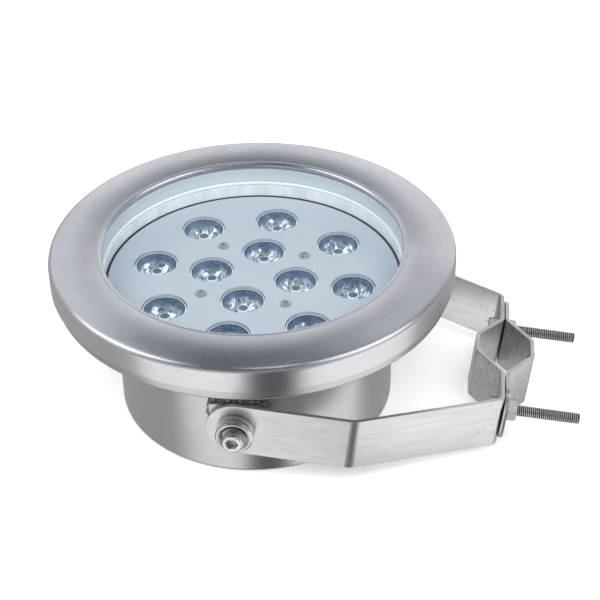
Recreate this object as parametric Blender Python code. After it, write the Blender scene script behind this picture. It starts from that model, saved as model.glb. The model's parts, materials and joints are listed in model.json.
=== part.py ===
"""Underwater pond light: a stainless steel LED lamp on a U-shaped yoke that ends in a pipe clamp.

The lamp stands on the flat bottom of its can and shines up (+Z). The origin is the middle of that
bottom. The pivot axis of the yoke is parallel to Y, and the clamp is on the +X side.
All sizes below are in millimetres; MM turns them into Blender's metres where meshes are made.
"""
import math

import bmesh
import bpy
from mathutils import Matrix, Vector

MM = 0.001
GAP = 0.3                     # clearance between two pieces that would touch

# Lamp heights, measured up from the can's bottom
BEZEL_EDGE_Z = 87.4           # top of the bezel at its outer edge
BEZEL_CROWN = 1.5             # how much the bezel rises towards the window
BEZEL_SKIRT_Z = 74.55
FLANGE_BOTTOM_Z = 71.8
FLANGE_THICK = 3.0
RIM_BOTTOM_Z = 68.6           # the flange's rim is turned down to here
SHOULDER_Z = 55.3             # underside of the shoulder, on the can's rim
COVER_TOP_Z = 68.6

# Lamp radii
BEZEL_R = 100.0
WINDOW_R = 73.7
CAN_R = 69.7
TRAY_R = 77.0
GLASS_R = 82.0
SHEET = 1.5                   # wall of the pressed stainless pieces
LIP_R = 4.0                   # roll of the bezel's inner edge
BEZEL_CORNER_R = 3.0
CAN_FILLET_R = 2.0
RIM_THICK = 2.5
BEZEL_SCREW_R = 90.0

# Optics
GLASS_THICK = 7.0
GASKET_THICK = 2.0
SPREADER_RIM = 2.0            # thickness of the heat spreader's rim
BOARD_TOP_Z = 55.9
INNER_LED_R = 21.6
OUTER_LED_R = 50.5
PLATE_SCREW_R = 30.0
LED_PHASE = math.radians(83.4)
LENS_R = 10.75
LENS_DROP = 1.3               # a lens's top below the cover plate's
PLATE_SCREW_SHANK_R = 1.5

# Yoke and its pivot
PIVOT_Z = 31.2
YOKE_DROOP = math.radians(5.7)
STRIP = 2.0                   # thickness of the yoke's strip
STRIP_HALF = 14.4             # half of its height
ARM_Y = 75.1                  # outer face of an arm
ARM_BEND_U = 56.0             # where an arm starts to run inwards
FACE_Y = 72.8                 # outer face of the welded pivot plates
PLATE_HALF_X = 12.5
PLATE_UP = 13.0               # how far a pivot plate reaches above and below its axis
PLATE_DOWN = 8.0
BOSS_R = 7.0
BOSS_INNER_Y = 57.0           # closed inner end of a pivot boss
BUSH_R = 9.2
BUSH_FLANGE = 2.6
WASHER_THICK = 3.4

# Pipe clamp, in the yoke's own axes: u away from the pivot, y along it, v up
SPLIT_U = 126.0               # plane where the two clamp halves meet
JAW_DEPTH = 12.5
JAW_FLAT_Y = 6.25             # half length of the flat at the bottom of a jaw
JAW_MOUTH_Y = 21.4            # half width of a jaw at the split
FLANGE_END_Y = 43.5
CLAMP_CORNER_R = 9.0
CLAMP_GAP = 0.5
BOLT_Y = 32.8
BOLT_R = 3.0
BOLT_REACH = 39.0             # end of a bolt past the split
BOLT_HOLE_R = 3.4
HEX_ACROSS = 10.0             # across the flats of an M6 head or nut

# Cable gland
GLAND_AZIMUTH = math.radians(150.0)
GLAND_Z = 25.0
GLAND_THREAD_R = 7.9
CABLE_R = 4.5

ROUND = 48                    # sides of the large turned pieces
FINE = 16                     # sides of the small ones


def material(name, colour, metallic, roughness, alpha=1.0):
    made = bpy.data.materials.new(name)
    made.use_nodes = True
    made.diffuse_color = (*colour, alpha)
    shader = made.node_tree.nodes["Principled BSDF"]
    shader.inputs["Base Color"].default_value = (*colour, 1.0)
    shader.inputs["Metallic"].default_value = metallic
    shader.inputs["Roughness"].default_value = roughness
    shader.inputs["Alpha"].default_value = alpha
    return made


# Outlines and meshes -------------------------------------------------------------------------

def arc(centre, radius, start_deg, end_deg, steps):
    """Points of a circular arc, both ends included."""
    points = []
    for i in range(steps + 1):
        angle = math.radians(start_deg + (end_deg - start_deg) * i / steps)
        points.append((centre[0] + radius * math.cos(angle), centre[1] + radius * math.sin(angle)))
    return points


def circle(centre, radius, steps):
    return arc(centre, radius, 0.0, 360.0, steps)[:-1]


def hexagon(across_flats):
    """A hexagon with two of its corners on the first axis."""
    return circle((0.0, 0.0), across_flats / math.sqrt(3.0), 6)


def rounded_rectangle(half_x, half_y, radius, steps=5):
    points = []
    for sx, sy, start in ((1, 1, 0), (-1, 1, 90), (-1, -1, 180), (1, -1, 270)):
        centre = (sx * (half_x - radius), sy * (half_y - radius))
        points += arc(centre, radius, start, start + 90, steps)
    return points


def finish_mesh(bm):
    bmesh.ops.remove_doubles(bm, verts=bm.verts, dist=1e-6)
    bmesh.ops.recalc_face_normals(bm, faces=bm.faces)
    return bm


def turned(profile, sides=FINE):
    """A solid of revolution about Z from a closed profile of (radius, z) points.

    A profile whose first and last points are on the axis makes a solid without a bore."""
    bm = bmesh.new()
    verts = [bm.verts.new((r * MM, 0.0, z * MM)) for r, z in profile]
    pairs = list(zip(verts, verts[1:]))
    if profile[0][0] > 0.0:
        pairs.append((verts[-1], verts[0]))
    edges = [bm.edges.new(pair) for pair in pairs]
    bmesh.ops.spin(bm, geom=verts + edges, cent=(0, 0, 0), axis=(0, 0, 1), dvec=(0, 0, 0),
                   angle=2 * math.pi, steps=sides, use_merge=True, use_duplicate=False)
    return finish_mesh(bm)


def tube(inner_r, outer_r, low, high, sides=FINE):
    return turned([(inner_r, low), (outer_r, low), (outer_r, high), (inner_r, high)], sides)


def prism(outlines, low, high):
    """Straight bars standing along Z, one for each outline of (x, y) points."""
    bm = bmesh.new()
    for outline in outlines:
        face = bm.faces.new([bm.verts.new((x * MM, y * MM, low * MM)) for x, y in outline])
        grown = bmesh.ops.extrude_face_region(bm, geom=[face])
        tops = [item for item in grown["geom"] if isinstance(item, bmesh.types.BMVert)]
        bmesh.ops.translate(bm, verts=tops, vec=(0.0, 0.0, (high - low) * MM))
    return finish_mesh(bm)


def rods(places, radius, low, high, sides=FINE):
    return prism([circle(place, radius, sides) for place in places], low, high)


# Objects -------------------------------------------------------------------------------------

def place(name, bm, look=None, at=(0, 0, 0), turn=None, parent=None):
    """Makes the object from its mesh. turn is a rotation matrix about the piece's own origin."""
    mesh = bpy.data.meshes.new(name)
    bm.to_mesh(mesh)
    bm.free()
    mesh.shade_smooth()
    mesh.set_sharp_from_angle(angle=math.radians(35.0))
    if look is not None:
        mesh.materials.append(look)
    made = bpy.data.objects.new(name, mesh)
    bpy.context.scene.collection.objects.link(made)
    made.parent = parent
    made.matrix_basis = Matrix.Translation(Vector(at) * MM) @ (turn or Matrix()).to_4x4()
    return made


def change(piece, operation, bm, turn=None, at=(0, 0, 0)):
    """Cuts, joins or trims a piece with a hidden tool object, in the piece's parent's axes."""
    tool = place(f"tool_{piece.name}_{len(piece.modifiers)}", bm, None, at, turn, piece.parent)
    tool.hide_render = True
    tool.display_type = "WIRE"
    step = piece.modifiers.new(operation.lower(), "BOOLEAN")
    step.operation = operation
    step.solver = "EXACT"
    step.object = tool


def towards(direction):
    """The rotation that takes a piece built along +Z to a direction."""
    return Vector((0, 0, 1)).rotation_difference(Vector(direction)).to_matrix()


def on_circle(radius, angle):
    return (radius * math.cos(angle), radius * math.sin(angle))


# Lamp shell ----------------------------------------------------------------------------------

def build_bezel():
    """A pressed ring: skirt, rounded corner, crowned face and rolled inner lip, all one sheet."""
    top = BEZEL_EDGE_Z + BEZEL_CROWN
    corner = (BEZEL_R - BEZEL_CORNER_R, BEZEL_EDGE_Z - BEZEL_CORNER_R)
    lip = (WINDOW_R + LIP_R, top - LIP_R)
    outer = [(BEZEL_R, BEZEL_SKIRT_Z)]
    outer += arc(corner, BEZEL_CORNER_R, 0, 90, 2)
    outer += arc(lip, LIP_R, 90, 180, 4)
    inner = arc(lip, LIP_R - SHEET, 180, 90, 2)
    inner += arc(corner, BEZEL_CORNER_R - SHEET, 90, 0, 1)
    inner += [(BEZEL_R - SHEET, BEZEL_SKIRT_Z)]
    return place("bezel_ring", turned(outer + inner, ROUND), STEEL_BRUSHED)


def bezel_screw_places():
    return [on_circle(BEZEL_SCREW_R, math.radians(30 + 60 * i)) for i in range(6)]


def build_clamp_ring():
    """The tapped ring inside the bezel that the six screws pull down."""
    ring = place("clamp_ring", tube(84.0, 96.0, 78.5, 83.5, ROUND), STEEL_PLAIN)
    change(ring, "DIFFERENCE", rods(bezel_screw_places(), 2.8, 77.0, 82.4, 12))


def build_tray():
    """The tray that holds the optics, ending in the shoulder that is welded to the can's rim."""
    top = FLANGE_BOTTOM_Z + FLANGE_THICK
    bore = CAN_R - SHEET
    profile = [(bore, SHOULDER_Z)]
    profile += arc((TRAY_R - 2.0, SHOULDER_Z + 2.0), 2.0, -90, 0, 2)
    profile += [(TRAY_R, top), (TRAY_R - SHEET, top)]
    profile += [(TRAY_R - SHEET, SHOULDER_Z + SHEET), (bore, SHOULDER_Z + SHEET)]
    place("housing_tray", turned(profile, ROUND), STEEL_PLAIN)


def build_flange():
    """The flange that is welded around the tray's mouth, with its turned-down rim."""
    top = FLANGE_BOTTOM_Z + FLANGE_THICK
    outer_r = BEZEL_R - SHEET - GAP
    inner_r = TRAY_R + GAP
    profile = [(inner_r, FLANGE_BOTTOM_Z), (outer_r - RIM_THICK, FLANGE_BOTTOM_Z)]
    profile += [(outer_r - RIM_THICK, RIM_BOTTOM_Z), (outer_r - 1.2, RIM_BOTTOM_Z)]
    profile += [(outer_r, RIM_BOTTOM_Z + 1.5), (outer_r, top), (inner_r, top)]
    flange = place("housing_flange", turned(profile, ROUND), STEEL_PLAIN)
    change(flange, "DIFFERENCE",
           rods(bezel_screw_places(), 2.8, FLANGE_BOTTOM_Z - 2, top + 2, 12))


def build_can():
    """The drawn can, with holes for the two pivot bosses and the cable gland."""
    top = SHOULDER_Z - GAP
    profile = [(0.0, 0.0)]
    profile += arc((CAN_R - CAN_FILLET_R, CAN_FILLET_R), CAN_FILLET_R, -90, 0, 3)
    profile += [(CAN_R, top), (CAN_R - SHEET, top)]
    profile += arc((CAN_R - CAN_FILLET_R, CAN_FILLET_R), CAN_FILLET_R - SHEET, 0, -90, 1)
    profile += [(0.0, SHEET)]
    can = place("housing_can", turned(profile, ROUND), STEEL_SATIN)
    across = rods([(0.0, 0.0)], BOSS_R + GAP, -90.0, 90.0)
    change(can, "DIFFERENCE", across, towards((0, 1, 0)), (0, 0, PIVOT_Z))
    inlet = rods([(0.0, 0.0)], GLAND_THREAD_R + 2 * GAP, 55.0, 80.0)
    change(can, "DIFFERENCE", inlet, towards(gland_axis()), (0, 0, GLAND_Z))


def build_bezel_screws():
    """Pan-head screws, driven from under the flange."""
    head = FLANGE_BOTTOM_Z - GAP
    for i, (x, y) in enumerate(bezel_screw_places()):
        profile = [(0, head - 3.0), (3.6, head - 3.0), (4.5, head - 2.2), (4.5, head)]
        profile += [(2.5, head), (2.5, 82.0), (0, 82.0)]
        place(f"bezel_screw_{i + 1}", turned(profile, 12), STEEL_PLAIN, (x, y, 0))


def build_window():
    """Toughened glass between two gaskets, and the ring that lines the well below it."""
    seat = FLANGE_BOTTOM_Z + FLANGE_THICK + GAP
    glass = seat + GASKET_THICK + GAP
    top = glass + GLASS_THICK
    edge = 0.6
    disc = [(0, glass), (GLASS_R - edge, glass), (GLASS_R, glass + edge)]
    disc += [(GLASS_R, top - edge), (GLASS_R - edge, top), (0, top)]
    place("front_glass", turned(disc, ROUND), GLASS)
    place("gasket_lower", tube(WINDOW_R + 0.3, GLASS_R, seat, seat + GASKET_THICK, ROUND), SILICONE)
    place("gasket_upper", tube(WINDOW_R + 3.8, GLASS_R, top + GAP, top + 2.3, ROUND), SILICONE)
    low = SHOULDER_Z + SHEET + GAP + SPREADER_RIM + GAP
    place("spacer_ring", tube(WINDOW_R, TRAY_R - SHEET - GAP, low, seat - GAP, ROUND), LINER)


# Optics and electronics ----------------------------------------------------------------------

def led_places():
    """Four LEDs on the inner circle and eight on the outer one."""
    inner = [on_circle(INNER_LED_R, LED_PHASE + i * math.pi / 2) for i in range(4)]
    outer = [on_circle(OUTER_LED_R, LED_PHASE + i * math.pi / 4) for i in range(8)]
    return inner + outer


def plate_screw_places():
    return [on_circle(PLATE_SCREW_R, LED_PHASE + math.radians(45 + 90 * i)) for i in range(4)]


def build_cover_plate():
    plate = place("cover_plate", prism([circle((0, 0), WINDOW_R - 0.5, ROUND)],
                                       COVER_TOP_Z - SHEET, COVER_TOP_Z), PLATE)
    holes = [circle(spot, LENS_R + GAP, FINE) for spot in led_places()]
    holes += [circle(spot, PLATE_SCREW_SHANK_R + GAP, 12) for spot in plate_screw_places()]
    change(plate, "DIFFERENCE", prism(holes, COVER_TOP_Z - 4, COVER_TOP_Z + 4))


def build_lenses():
    """Collimating lenses: a cone with a flat rimmed top and a well over the LED."""
    low = BOARD_TOP_Z + GAP
    high = COVER_TOP_Z - LENS_DROP
    profile = [(0, low + 3.2), (3.9, low + 2.6), (3.9, low), (6.0, low)]
    profile += [(LENS_R, high - 2.0), (LENS_R, high), (0, high)]
    for i, (x, y) in enumerate(led_places()):
        place(f"lens_{i + 1:02d}", turned(profile), LENS, (x, y, 0))


def build_board():
    """The round circuit board, with one raised emitter under each lens."""
    low = BOARD_TOP_Z - 1.6
    board = place("led_board", tube(4.0, 62.0, low, BOARD_TOP_Z, 40), BOARD)
    change(board, "UNION", rods(led_places(), 3.2, low + 0.8, BOARD_TOP_Z + 2.0, 8))


def build_spreader():
    """An aluminium pan that hangs on the shoulder by its rim and carries the board."""
    low = BOARD_TOP_Z - 1.6 - GAP
    rim_low = SHOULDER_Z + SHEET + GAP
    outer = CAN_R - SHEET - 0.5
    profile = [(4.0, low - 4.0), (outer, low - 4.0), (outer, rim_low)]
    profile += [(TRAY_R - SHEET - GAP, rim_low), (TRAY_R - SHEET - GAP, rim_low + SPREADER_RIM)]
    profile += [(outer - 3.0, rim_low + SPREADER_RIM), (outer - 3.0, low), (4.0, low)]
    place("heat_spreader", turned(profile, 40), ALUMINIUM)


def build_standoffs():
    """Hexagonal pillars between board and cover plate, and the screws that go into them."""
    low = BOARD_TOP_Z + GAP
    high = COVER_TOP_Z - SHEET - GAP
    head = COVER_TOP_Z + GAP
    for i, (x, y) in enumerate(plate_screw_places()):
        pillar = place(f"standoff_{i + 1}", prism([hexagon(7.0)], low, high), BRASS, (x, y, 0))
        bore = rods([(0, 0)], PLATE_SCREW_SHANK_R + GAP, low + 2.0, high + 2.0, 12)
        change(pillar, "DIFFERENCE", bore, None, (x, y, 0))
        shank = PLATE_SCREW_SHANK_R
        profile = [(0, low + 3.0), (shank, low + 3.0), (shank, head), (2.9, head)]
        profile += [(2.5, head + 0.9), (0, head + 0.9)]
        place(f"plate_screw_{i + 1}", turned(profile, 16), STEEL_PLAIN, (x, y, 0))


def build_driver():
    """The potted LED driver on the can's floor, and its lead up to the board."""
    low = SHEET + GAP
    high = low + 26.0
    place("driver_module", prism([rounded_rectangle(45.0, 25.0, 4.0, 3)], low, high), PLASTIC)
    place("driver_lead", rods([(0, 0)], 2.4, high + GAP, BOARD_TOP_Z - 0.4, 12), SILICONE)


# Pivots --------------------------------------------------------------------------------------

def build_pivot(side, name):
    """One pivot, outwards from the can: welded boss, flanged bush, dished washer, cap screw."""
    turn = towards((0, side, 0))
    at = (0, 0, PIVOT_Z)
    up = -side
    outline = [(-PLATE_HALF_X, -PLATE_DOWN * up), (PLATE_HALF_X, -PLATE_DOWN * up)]
    outline += [(PLATE_HALF_X, PLATE_UP * up), (-PLATE_HALF_X, PLATE_UP * up)]
    plate = prism([outline], CAN_R - 3.5, FACE_Y)
    boss = place(f"pivot_boss_{name}", plate, STEEL_SATIN, at, turn)
    change(boss, "DIFFERENCE", rods([(0, 0)], CAN_R + GAP, -60.0, 60.0, 4 * ROUND), None, at)
    change(boss, "UNION", rods([(0, 0)], BOSS_R, BOSS_INNER_Y, FACE_Y - 1.0), turn, at)
    change(boss, "DIFFERENCE", rods([(0, 0)], BOLT_R + GAP, BOSS_INNER_Y + 3.0, 90.0, 12), turn, at)

    bush_face = ARM_Y + GAP + BUSH_FLANGE
    bush = [(BOLT_R + GAP, FACE_Y + GAP), (5.0, FACE_Y + GAP), (5.0, ARM_Y + GAP)]
    bush += [(BUSH_R - 0.4, ARM_Y + GAP), (BUSH_R, ARM_Y + GAP + 0.4), (BUSH_R, bush_face - 0.4)]
    bush += [(BUSH_R - 0.4, bush_face), (BOLT_R + GAP, bush_face)]
    place(f"pivot_bush_{name}", turned(bush, 20), STEEL_PLAIN, at, turn)

    low = bush_face + GAP
    high = low + WASHER_THICK
    washer = [(BOLT_R + GAP, low), (BUSH_R - 0.6, low), (BUSH_R - 0.1, low + 0.5)]
    washer += [(BUSH_R - 0.1, high - 0.8), (BUSH_R - 0.9, high), (BUSH_R - 1.5, high)]
    washer += [(5.6, high - 1.4), (5.6, high - 2.2), (BOLT_R + GAP, high - 2.2)]
    place(f"pivot_washer_{name}", turned(washer, 20), STEEL_PLAIN, at, turn)

    head = high - 2.2 + GAP
    screw = [(0, BOSS_INNER_Y + 4.0), (BOLT_R, BOSS_INNER_Y + 4.0), (BOLT_R, head), (5.0, head)]
    screw += [(5.0, head + 5.5), (4.5, head + 6.0), (0, head + 6.0)]
    cap = place(f"pivot_screw_{name}", turned(screw), STEEL_PLAIN, at, turn)
    change(cap, "DIFFERENCE", prism([hexagon(5.0)], head + 3.0, head + 8.0), turn, at)


# Cable gland ---------------------------------------------------------------------------------

def gland_axis():
    return (math.cos(GLAND_AZIMUTH), math.sin(GLAND_AZIMUTH), 0.0)


def build_gland():
    """The cable inlet at the back of the can: body, inner locknut, rubber seal and dome nut."""
    turn = towards(gland_axis())
    at = (0, 0, GLAND_Z)
    wrench = CAN_R + 2 * GAP
    inside = CAN_R - 9.5
    end = wrench + 15.0
    body = place("gland_body", prism([hexagon(19.0)], wrench, wrench + 5.0), NICKEL, at, turn)
    change(body, "UNION", rods([(0, 0)], GLAND_THREAD_R, inside, wrench + 1.0), turn, at)
    change(body, "UNION", rods([(0, 0)], 7.2, wrench + 4.0, end), turn, at)
    change(body, "DIFFERENCE", rods([(0, 0)], CABLE_R + 0.3, inside - 5.0, end + 5.0), turn, at)

    locknut = place("gland_locknut", prism([hexagon(20.0)], inside + 1.5, CAN_R - 3.2), NICKEL, at, turn)
    change(locknut, "DIFFERENCE", rods([(0, 0)], GLAND_THREAD_R + GAP, inside, CAN_R), turn, at)

    low = wrench + 5.0 + 2 * GAP
    tip = end + 7.0
    bore = 7.2 + GAP
    nut = [(bore, low), (9.2, low), (9.8, low + 0.8), (9.8, low + 10.0)]
    nut += arc((5.2, low + 10.0), 4.6, 0, 60, 3)
    nut += [(6.4, tip), (CABLE_R + 0.1, tip), (CABLE_R + 0.1, end + 3.6), (bore, end + 3.6)]
    place("gland_nut", turned(nut, 20), NICKEL, at, turn)
    place("gland_seal", tube(CABLE_R, bore - GAP, end + GAP, end + 3.3), RUBBER, at, turn)


# Yoke and pipe clamp -------------------------------------------------------------------------

def offset_left(points, distance):
    """A polyline moved sideways to its left, with mitred corners."""
    moved = []
    for i, point in enumerate(points):
        here = Vector(point)
        ways = []
        if i > 0:
            ways.append((here - Vector(points[i - 1])).normalized())
        if i < len(points) - 1:
            ways.append((Vector(points[i + 1]) - here).normalized())
        normals = [Vector((-way.y, way.x)) for way in ways]
        middle = sum(normals, Vector((0, 0))).normalized()
        moved.append(tuple(here + middle * (distance / middle.dot(normals[0]))))
    return moved


def strip_outline(points, radii, thickness):
    """The outline of a bent strip: points are its centre line's corners, radii its bends."""
    left, right = [], []

    def both(spot, normal):
        left.append(tuple(spot + normal * thickness / 2))
        right.append(tuple(spot - normal * thickness / 2))

    first = (Vector(points[1]) - Vector(points[0])).normalized()
    last = (Vector(points[-1]) - Vector(points[-2])).normalized()
    both(Vector(points[0]), Vector((-first.y, first.x)))
    for i, radius in enumerate(radii, start=1):
        here = Vector(points[i])
        before = (here - Vector(points[i - 1])).normalized()
        after = (Vector(points[i + 1]) - here).normalized()
        turn = before.angle_signed(after) * -1.0
        sign = math.copysign(1.0, turn)
        start = here - before * (radius * math.tan(abs(turn) / 2))
        centre = start + Vector((-before.y, before.x)) * (sign * radius)
        steps = max(2, round(math.degrees(abs(turn)) / 15.0))
        for step in range(steps + 1):
            spoke = Matrix.Rotation(turn * step / steps, 2) @ (start - centre)
            both(centre + spoke, spoke.normalized() * -sign)
    both(Vector(points[-1]), Vector((-last.y, last.x)))
    return right + left[::-1]


def build_yoke(parent):
    """One bent strip: two arms, two flanges, and the half-hexagon jaw between them."""
    half = [(-STRIP_HALF, -ARM_Y), (ARM_BEND_U, -ARM_Y), (SPLIT_U, -FLANGE_END_Y),
            (SPLIT_U, -JAW_MOUTH_Y), (SPLIT_U - JAW_DEPTH, -JAW_FLAT_Y)]
    face = half + [(u, -y) for u, y in reversed(half)]
    radii = [12.0, 3.5, 2.5, 3.5, 3.5, 2.5, 3.5, 12.0]
    outline = strip_outline(offset_left(face, STRIP / 2), radii, STRIP)
    yoke = place("yoke_bracket", prism([outline], -STRIP_HALF, STRIP_HALF), STEEL_MILL, parent=parent)
    along_y = Matrix.Rotation(math.radians(90), 3, "X")
    side = arc((0, 0), STRIP_HALF, 90, 270, 12) + [(SPLIT_U + 20, -STRIP_HALF - 1)]
    side += [(SPLIT_U + 20, STRIP_HALF + 1)]
    change(yoke, "INTERSECT", prism([side], -ARM_Y - 5, ARM_Y + 5), along_y)
    change(yoke, "DIFFERENCE", rods([(0, 0)], 5.0 + GAP, -ARM_Y - 5, ARM_Y + 5), along_y)
    bolt_holes = rods([(0, BOLT_Y), (0, -BOLT_Y)], BOLT_HOLE_R, SPLIT_U - 6, SPLIT_U + 4, 16)
    change(yoke, "DIFFERENCE", bolt_holes, towards((1, 0, 0)))


def build_clamp_half(parent):
    """The loose half of the pipe clamp, with rounded corners."""
    start = SPLIT_U + CLAMP_GAP
    half = [(start, -FLANGE_END_Y), (start, -JAW_MOUTH_Y), (start + JAW_DEPTH, -JAW_FLAT_Y)]
    face = half + [(u, -y) for u, y in reversed(half)]
    outline = strip_outline(offset_left(face, -STRIP / 2), [2.5, 3.5, 3.5, 2.5], STRIP)
    bm = prism([outline], -STRIP_HALF, STRIP_HALF)
    piece = place("clamp_half", bm, STEEL_MILL, parent=parent)
    along_u = towards((1, 0, 0))
    plate = rounded_rectangle(STRIP_HALF, FLANGE_END_Y, CLAMP_CORNER_R)
    change(piece, "INTERSECT", prism([plate], SPLIT_U - 5, SPLIT_U + 30), along_u)
    bolt_holes = rods([(0, BOLT_Y), (0, -BOLT_Y)], BOLT_HOLE_R, SPLIT_U - 6, SPLIT_U + 8, 16)
    change(piece, "DIFFERENCE", bolt_holes, along_u)


def build_clamp_bolt(parent, side, name):
    """A long hex bolt, headed inside the yoke, with its nut on the far side of the clamp."""
    along_u = towards((1, 0, 0))
    at = (0, side * BOLT_Y, 0)
    under_head = SPLIT_U - STRIP - GAP
    bolt = place(f"clamp_bolt_{name}", prism([hexagon(HEX_ACROSS)], under_head - 4.0, under_head),
                 STEEL_THREAD, at, along_u, parent)
    change(bolt, "UNION", rods([(0, 0)], BOLT_R, under_head - 1.0, SPLIT_U + BOLT_REACH), along_u, at)
    low = SPLIT_U + CLAMP_GAP + STRIP + GAP
    nut = place(f"clamp_nut_{name}", prism([hexagon(HEX_ACROSS)], low, low + 5.0),
                ZINC, at, along_u, parent)
    change(nut, "DIFFERENCE", rods([(0, 0)], BOLT_R + GAP, low - 2, low + 7), along_u, at)


for old in list(bpy.data.objects):
    bpy.data.objects.remove(old)

STEEL_BRUSHED = material("brushed stainless", (0.60, 0.60, 0.61), 1.0, 0.32)
STEEL_SATIN = material("satin stainless", (0.66, 0.66, 0.67), 1.0, 0.28)
STEEL_PLAIN = material("plain stainless", (0.62, 0.62, 0.62), 1.0, 0.25)
STEEL_MILL = material("mill finish stainless", (0.64, 0.63, 0.62), 1.0, 0.36)
STEEL_THREAD = material("threaded stainless", (0.42, 0.41, 0.40), 1.0, 0.35)
ZINC = material("zinc plating", (0.70, 0.74, 0.78), 1.0, 0.30)
GLASS = material("toughened glass", (0.80, 0.90, 0.95), 0.0, 0.03, 0.25)
SILICONE = material("white silicone", (0.85, 0.87, 0.88), 0.0, 0.6)
LINER = material("liner", (0.75, 0.78, 0.80), 0.6, 0.4)
PLATE = material("cover plate", (0.62, 0.68, 0.74), 0.3, 0.5)
LENS = material("clear acrylic", (0.88, 0.92, 0.96), 0.0, 0.05, 0.4)
BOARD = material("circuit board", (0.80, 0.80, 0.78), 0.0, 0.5)
ALUMINIUM = material("aluminium", (0.77, 0.78, 0.80), 1.0, 0.4)
BRASS = material("brass", (0.72, 0.56, 0.28), 1.0, 0.3)
PLASTIC = material("black plastic", (0.03, 0.03, 0.03), 0.0, 0.5)
NICKEL = material("nickel plating", (0.70, 0.68, 0.64), 1.0, 0.2)
RUBBER = material("black rubber", (0.02, 0.02, 0.02), 0.0, 0.7)

build_bezel()
build_clamp_ring()
build_tray()
build_flange()
build_can()
build_bezel_screws()
build_window()
build_cover_plate()
build_lenses()
build_board()
build_spreader()
build_standoffs()
build_driver()
build_pivot(-1, "near")
build_pivot(1, "far")
build_gland()

yoke_axis = bpy.data.objects.new("yoke_axis", None)
yoke_axis.location = (0.0, 0.0, PIVOT_Z * MM)
yoke_axis.rotation_euler = (0.0, YOKE_DROOP, 0.0)
bpy.context.scene.collection.objects.link(yoke_axis)
build_yoke(yoke_axis)
build_clamp_half(yoke_axis)
build_clamp_bolt(yoke_axis, -1, "near")
build_clamp_bolt(yoke_axis, 1, "far")
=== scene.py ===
import json
import math
import random

import bmesh
import bpy
from mathutils import Matrix, Vector, noise


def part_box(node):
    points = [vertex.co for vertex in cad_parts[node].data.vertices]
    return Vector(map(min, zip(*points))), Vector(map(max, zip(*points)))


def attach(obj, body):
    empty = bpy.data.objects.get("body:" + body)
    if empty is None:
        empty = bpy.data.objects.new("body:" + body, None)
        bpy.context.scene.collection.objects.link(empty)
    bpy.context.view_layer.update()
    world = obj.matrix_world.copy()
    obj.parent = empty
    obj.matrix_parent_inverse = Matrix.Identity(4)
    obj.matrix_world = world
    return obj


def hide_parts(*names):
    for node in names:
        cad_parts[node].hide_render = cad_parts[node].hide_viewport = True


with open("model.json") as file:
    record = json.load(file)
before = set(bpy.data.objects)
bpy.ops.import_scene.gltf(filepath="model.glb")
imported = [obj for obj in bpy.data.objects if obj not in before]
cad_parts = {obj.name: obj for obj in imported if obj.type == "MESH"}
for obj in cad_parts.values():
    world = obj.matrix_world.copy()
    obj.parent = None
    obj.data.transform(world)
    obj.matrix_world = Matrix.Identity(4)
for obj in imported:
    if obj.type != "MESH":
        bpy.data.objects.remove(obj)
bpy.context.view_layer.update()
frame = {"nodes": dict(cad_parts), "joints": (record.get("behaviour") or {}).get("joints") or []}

MM = 0.001
ROUND = 192                   # sides of the large turned pieces
FINE = 64                     # sides of the small ones
SHEET = 1.5                   # wall of the pressed stainless pieces
SHARP = math.radians(38.0)    # an edge with a larger turn than this stays sharp


def low_of(node):
    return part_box(node)[0] / MM


def high_of(node):
    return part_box(node)[1] / MM


def middle_of(node):
    return (low_of(node) + high_of(node)) / 2


def heights(node):
    """Bottom and top of a node."""
    return low_of(node).z, high_of(node).z


def joint(name):
    return next(j for j in frame["joints"] if j["name"] == name)


# --- Outlines and meshes ---

def arc(centre, radius, start_deg, end_deg, steps):
    """Points of a circular arc, both ends included."""
    points = []
    for i in range(steps + 1):
        angle = math.radians(start_deg + (end_deg - start_deg) * i / steps)
        points.append((centre[0] + radius * math.cos(angle), centre[1] + radius * math.sin(angle)))
    return points


def circle(centre, radius, steps=FINE):
    return arc(centre, radius, 0.0, 360.0, steps)[:-1]


def hexagon(across_flats):
    """A hexagon with two of its corners on the first axis."""
    return circle((0.0, 0.0), across_flats / math.sqrt(3.0), 6)


def rectangle(left, right, low, high):
    return [(left, low), (right, low), (right, high), (left, high)]


def rounded_rectangle(half_x, half_y, radius, steps=12):
    points = []
    for sx, sy, start in ((1, 1, 0), (-1, 1, 90), (-1, -1, 180), (1, -1, 270)):
        centre = (sx * (half_x - radius), sy * (half_y - radius))
        points += arc(centre, radius, start, start + 90, steps)
    return points


def finish_mesh(bm):
    bmesh.ops.remove_doubles(bm, verts=bm.verts, dist=1e-7)
    bmesh.ops.recalc_face_normals(bm, faces=bm.faces)
    return bm


def vertex(bm, radius, angle, z):
    return bm.verts.new((radius * math.cos(angle) * MM, radius * math.sin(angle) * MM, z * MM))


def bridge(bm, rings, closed):
    """Skins a run of rings of vertices. A ring of one vertex is a point on the axis."""
    sides = max(len(ring) for ring in rings)
    for a, b in zip(rings, rings[1:] + (rings[:1] if closed else [])):
        for i in range(sides):
            j = (i + 1) % sides
            corners = dict.fromkeys([a[i % len(a)], a[j % len(a)], b[j % len(b)], b[i % len(b)]])
            if len(corners) > 2:
                bm.faces.new(list(corners))


def turned(profile, sides=FINE, wave=None):
    """A solid of revolution about Z from a closed profile of (radius, z) points.

    wave(radius, z, angle) may give another radius for each point of the skin."""
    bm = bmesh.new()
    rings = []
    for radius, z in profile:
        ring = []
        for i in range(sides if radius > 0.0 else 1):
            angle = 2 * math.pi * i / sides
            ring.append(vertex(bm, wave(radius, z, angle) if wave else radius, angle, z))
        rings.append(ring)
    bridge(bm, rings, closed=profile[0][0] > 0.0)
    return finish_mesh(bm)


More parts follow.
